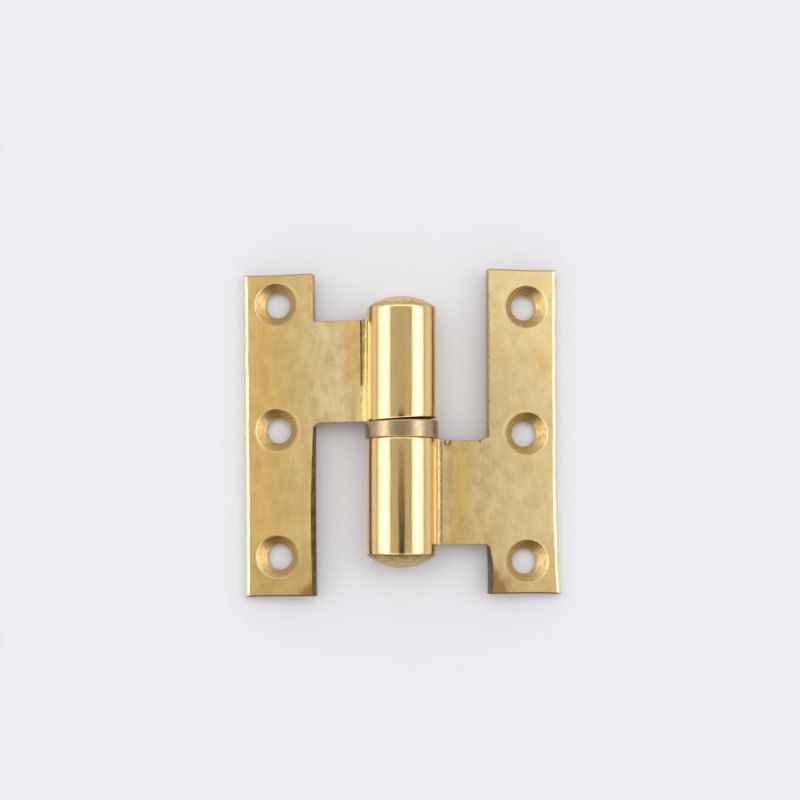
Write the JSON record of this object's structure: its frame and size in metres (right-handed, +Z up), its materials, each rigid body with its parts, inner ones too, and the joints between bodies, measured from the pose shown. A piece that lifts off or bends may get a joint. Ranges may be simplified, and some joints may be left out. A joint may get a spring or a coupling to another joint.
{
  "type": "paumelle hinge",
  "caption": "Lift-off brass door hinge: domed barrels turning on a fixed pin with a bearing ring between them, each brazed to a flat notched leaf with countersunk screw holes.",
  "frame": {"origin": "centre of the hinge's box on the table, below the pin axis", "axes": "+Z up from the table, +Y along the pin towards the upper half, +X towards the lower half's leaf"},
  "size_m": [0.0785, 0.0808, 0.0181],
  "materials": {
    "leaf_brass": "satin, hand-linished along the pin",
    "barrel_brass": "polished",
    "braze": "filed and part polished",
    "ring_bronze": "turned, dull bronze",
    "pin_steel": "bright turned"
  },
  "bodies": {
    "lower_half": {"lower_leaf": "leaf_brass", "lower_barrel": "barrel_brass", "lower_braze": "braze", "hinge_pin": "pin_steel"},
    "ring": {"bearing_ring": "ring_bronze"},
    "upper_half": {"upper_leaf": "leaf_brass", "upper_barrel": "barrel_brass", "upper_braze": "braze"}
  },
  "joints": [
    {"name": "swing", "type": "hinge", "parent": "lower_half", "child": "ring", "pos_m": [0, 0, 0.00905], "axis": [0, 1, 0], "range_deg": [0, 193]},
    {"name": "lift_off", "type": "slide", "parent": "ring", "child": "upper_half", "axis": [0, 1, 0], "range_m": [0, 0.03]}
  ]
}
